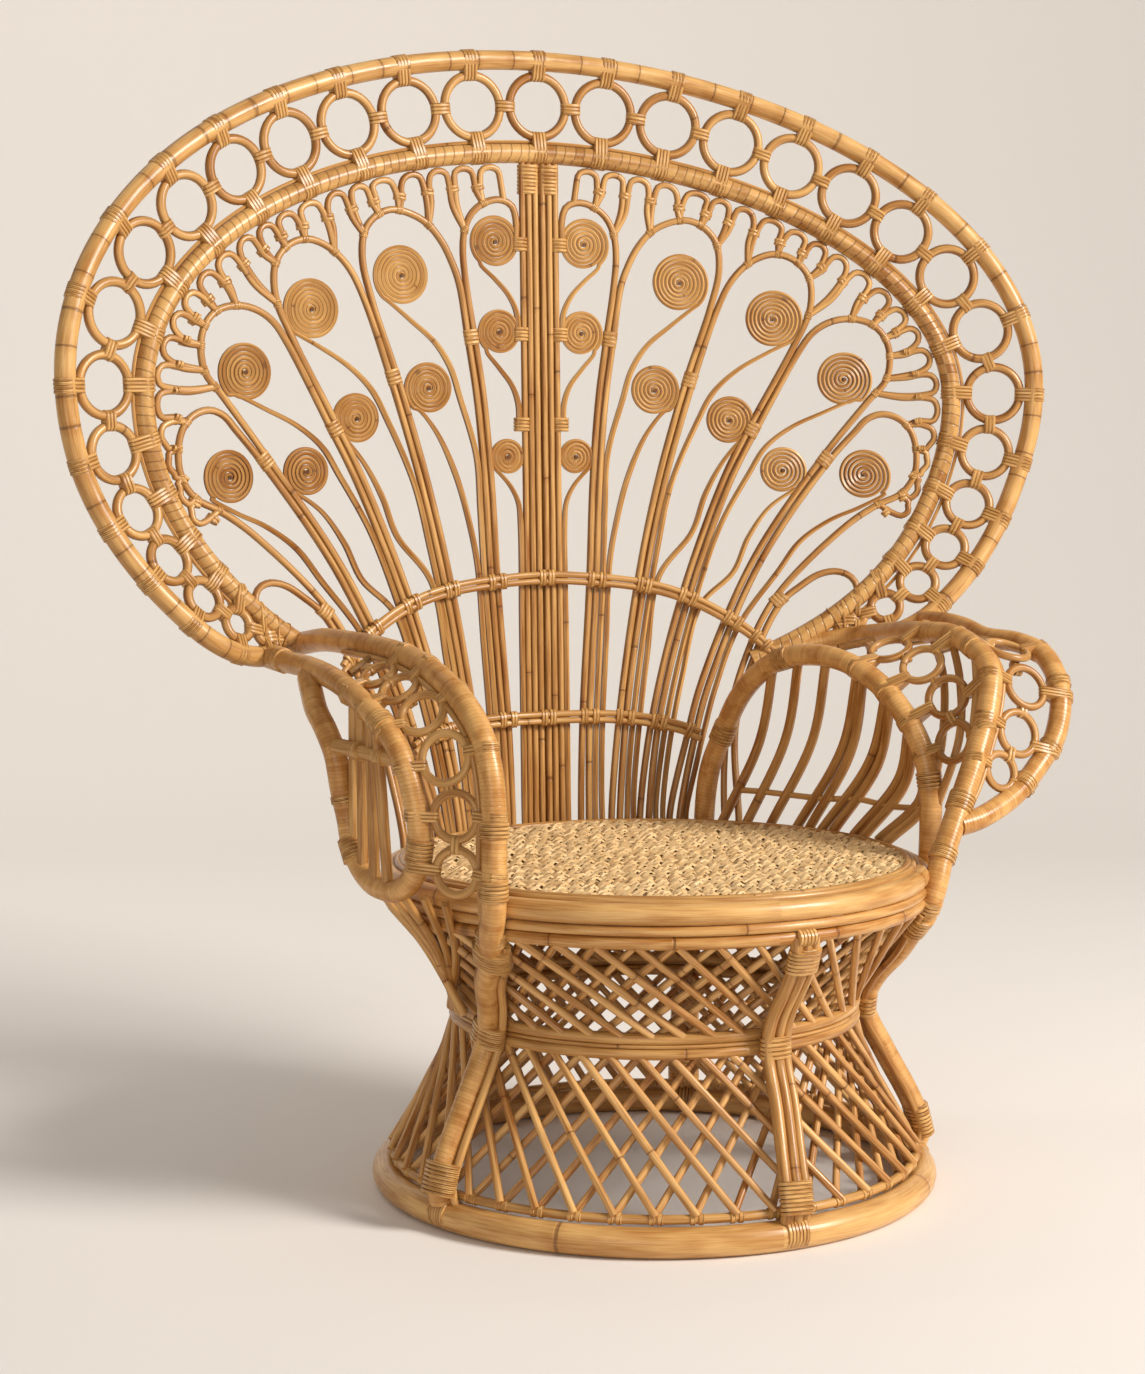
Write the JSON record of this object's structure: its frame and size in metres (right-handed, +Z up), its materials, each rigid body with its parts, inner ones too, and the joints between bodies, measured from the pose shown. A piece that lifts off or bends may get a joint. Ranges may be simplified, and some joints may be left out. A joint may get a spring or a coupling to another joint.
{
  "type": "peacock chair",
  "caption": "Rattan peacock chair: waisted lattice drum base, round woven seat, open looped arms and a wide fan back of hoops, rings, hairpin arches and scrolls.",
  "frame": {"origin": "on the floor, under the middle of the chair's box", "axes": "+Z up; the chair faces -Y; +X is on the right of someone who looks at its front"},
  "size_m": [1.332, 0.7278, 1.3843],
  "materials": {
    "rattan": "lacquered bare rattan cane",
    "wrapped_rattan": "rattan pole wrapped with flat lacquered cane strip",
    "dark_cane": "lacquered cane, a shade darker",
    "woven_straw": "matt woven strands"
  },
  "bodies": {
    "root": {"floor_hoop": "rattan", "foot_rail": "rattan", "waist_hoop_lower": "rattan", "waist_hoop_upper": "rattan", "seat_support_hoop": "rattan", "lower_lattice": "dark_cane", "upper_lattice": "dark_cane", "front_post": "wrapped_rattan", "right_post": "wrapped_rattan", "left_post": "wrapped_rattan", "back_right_post": "wrapped_rattan", "back_left_post": "wrapped_rattan", "seat_rim_lower": "rattan", "seat_rim_upper": "rattan", "seat_bead": "rattan", "seat_bearers": "dark_cane", "woven_seat": "woven_straw", "fan_outer_hoop": "wrapped_rattan", "fan_inner_hoop": "wrapped_rattan", "fan_rings": "rattan", "centre_column": "rattan", "right_arch_1": "rattan", "left_arch_1": "rattan", "right_arch_2": "rattan", "left_arch_2": "rattan", "right_arch_3": "rattan", "left_arch_3": "rattan", "right_arch_4": "rattan", "left_arch_4": "rattan", "right_arch_5": "rattan", "left_arch_5": "rattan", "right_arch_6": "rattan", "left_arch_6": "rattan", "right_scrolls_1": "rattan", "left_scrolls_1": "rattan", "right_scrolls_2": "rattan", "left_scrolls_2": "rattan", "right_scrolls_3": "rattan", "left_scrolls_3": "rattan", "right_scrolls_4": "rattan", "left_scrolls_4": "rattan", "right_scrolls_5": "rattan", "left_scrolls_5": "rattan", "right_scallops": "rattan", "left_scallops": "rattan", "upper_band": "rattan", "lower_band": "rattan", "right_arm_arch": "wrapped_rattan", "right_arm_hoop": "wrapped_rattan", "right_arm_bow": "wrapped_rattan", "left_arm_hoop": "wrapped_rattan", "left_arm_loop": "wrapped_rattan", "left_arm_rings": "rattan", "right_arm_inner_rings": "rattan", "right_arm_outer_rings": "rattan", "right_arm_spokes": "rattan", "left_arm_grid": "rattan", "left_arm_stays": "rattan", "right_arm_stays": "rattan"}
  },
  "joints": []
}
